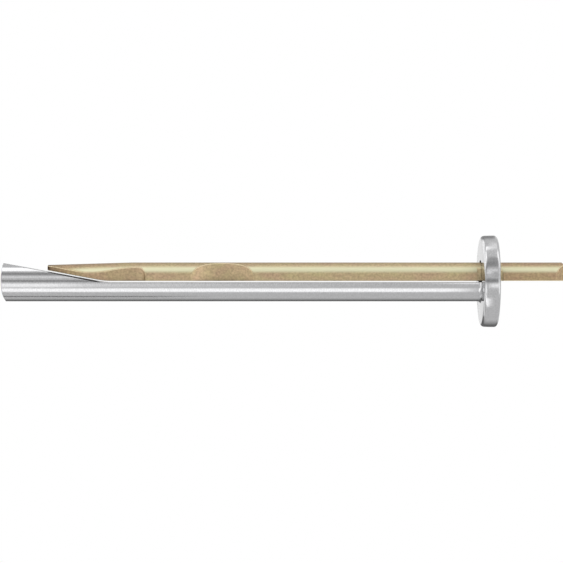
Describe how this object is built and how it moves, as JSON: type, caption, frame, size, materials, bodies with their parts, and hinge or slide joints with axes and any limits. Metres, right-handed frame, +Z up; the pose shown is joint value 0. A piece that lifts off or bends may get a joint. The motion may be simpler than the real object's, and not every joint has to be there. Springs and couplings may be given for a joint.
{
  "type": "hammer-set wedge anchor",
  "caption": "Steel wedge anchor for a drilled hole: round head, half-round shank with a ramped tip, and a half-round pin whose wedge is hammered up the ramp.",
  "frame": {"origin": "on the shank's axis, in the plane of the head's underside", "axes": "+X along the shank from the nose to the head and the striking end, +Z up from the body's flat to the pin's crown, +Y across"},
  "size_m": [0.0844, 0.0138, 0.0138],
  "materials": {
    "bright_zinc_plated_steel": "cold-formed steel, bright blue-white zinc plating with drawing lines along the shank",
    "yellow_zinc_plated_steel": "half-round steel wire, yellow chromated zinc plating, satin and slightly mottled"
  },
  "bodies": {
    "anchor_body": {"anchor_body": "bright_zinc_plated_steel"},
    "pin_shank": {"pin_shank": "yellow_zinc_plated_steel"},
    "pin_wedge": {"pin_wedge": "yellow_zinc_plated_steel"}
  },
  "joints": [
    {"name": "pin_drive", "type": "slide", "parent": "anchor_body", "child": "pin_shank", "axis": [-1, 0, 0], "range_m": [0, 0.01]},
    {"name": "wedge_rise", "type": "slide", "parent": "pin_shank", "child": "pin_wedge", "axis": [0, 0, 1], "range_m": [0, 0.00188]}
  ],
  "couplings": [
    {"joint": "wedge_rise", "follows": "pin_drive", "ratio": 0.18714}
  ]
}
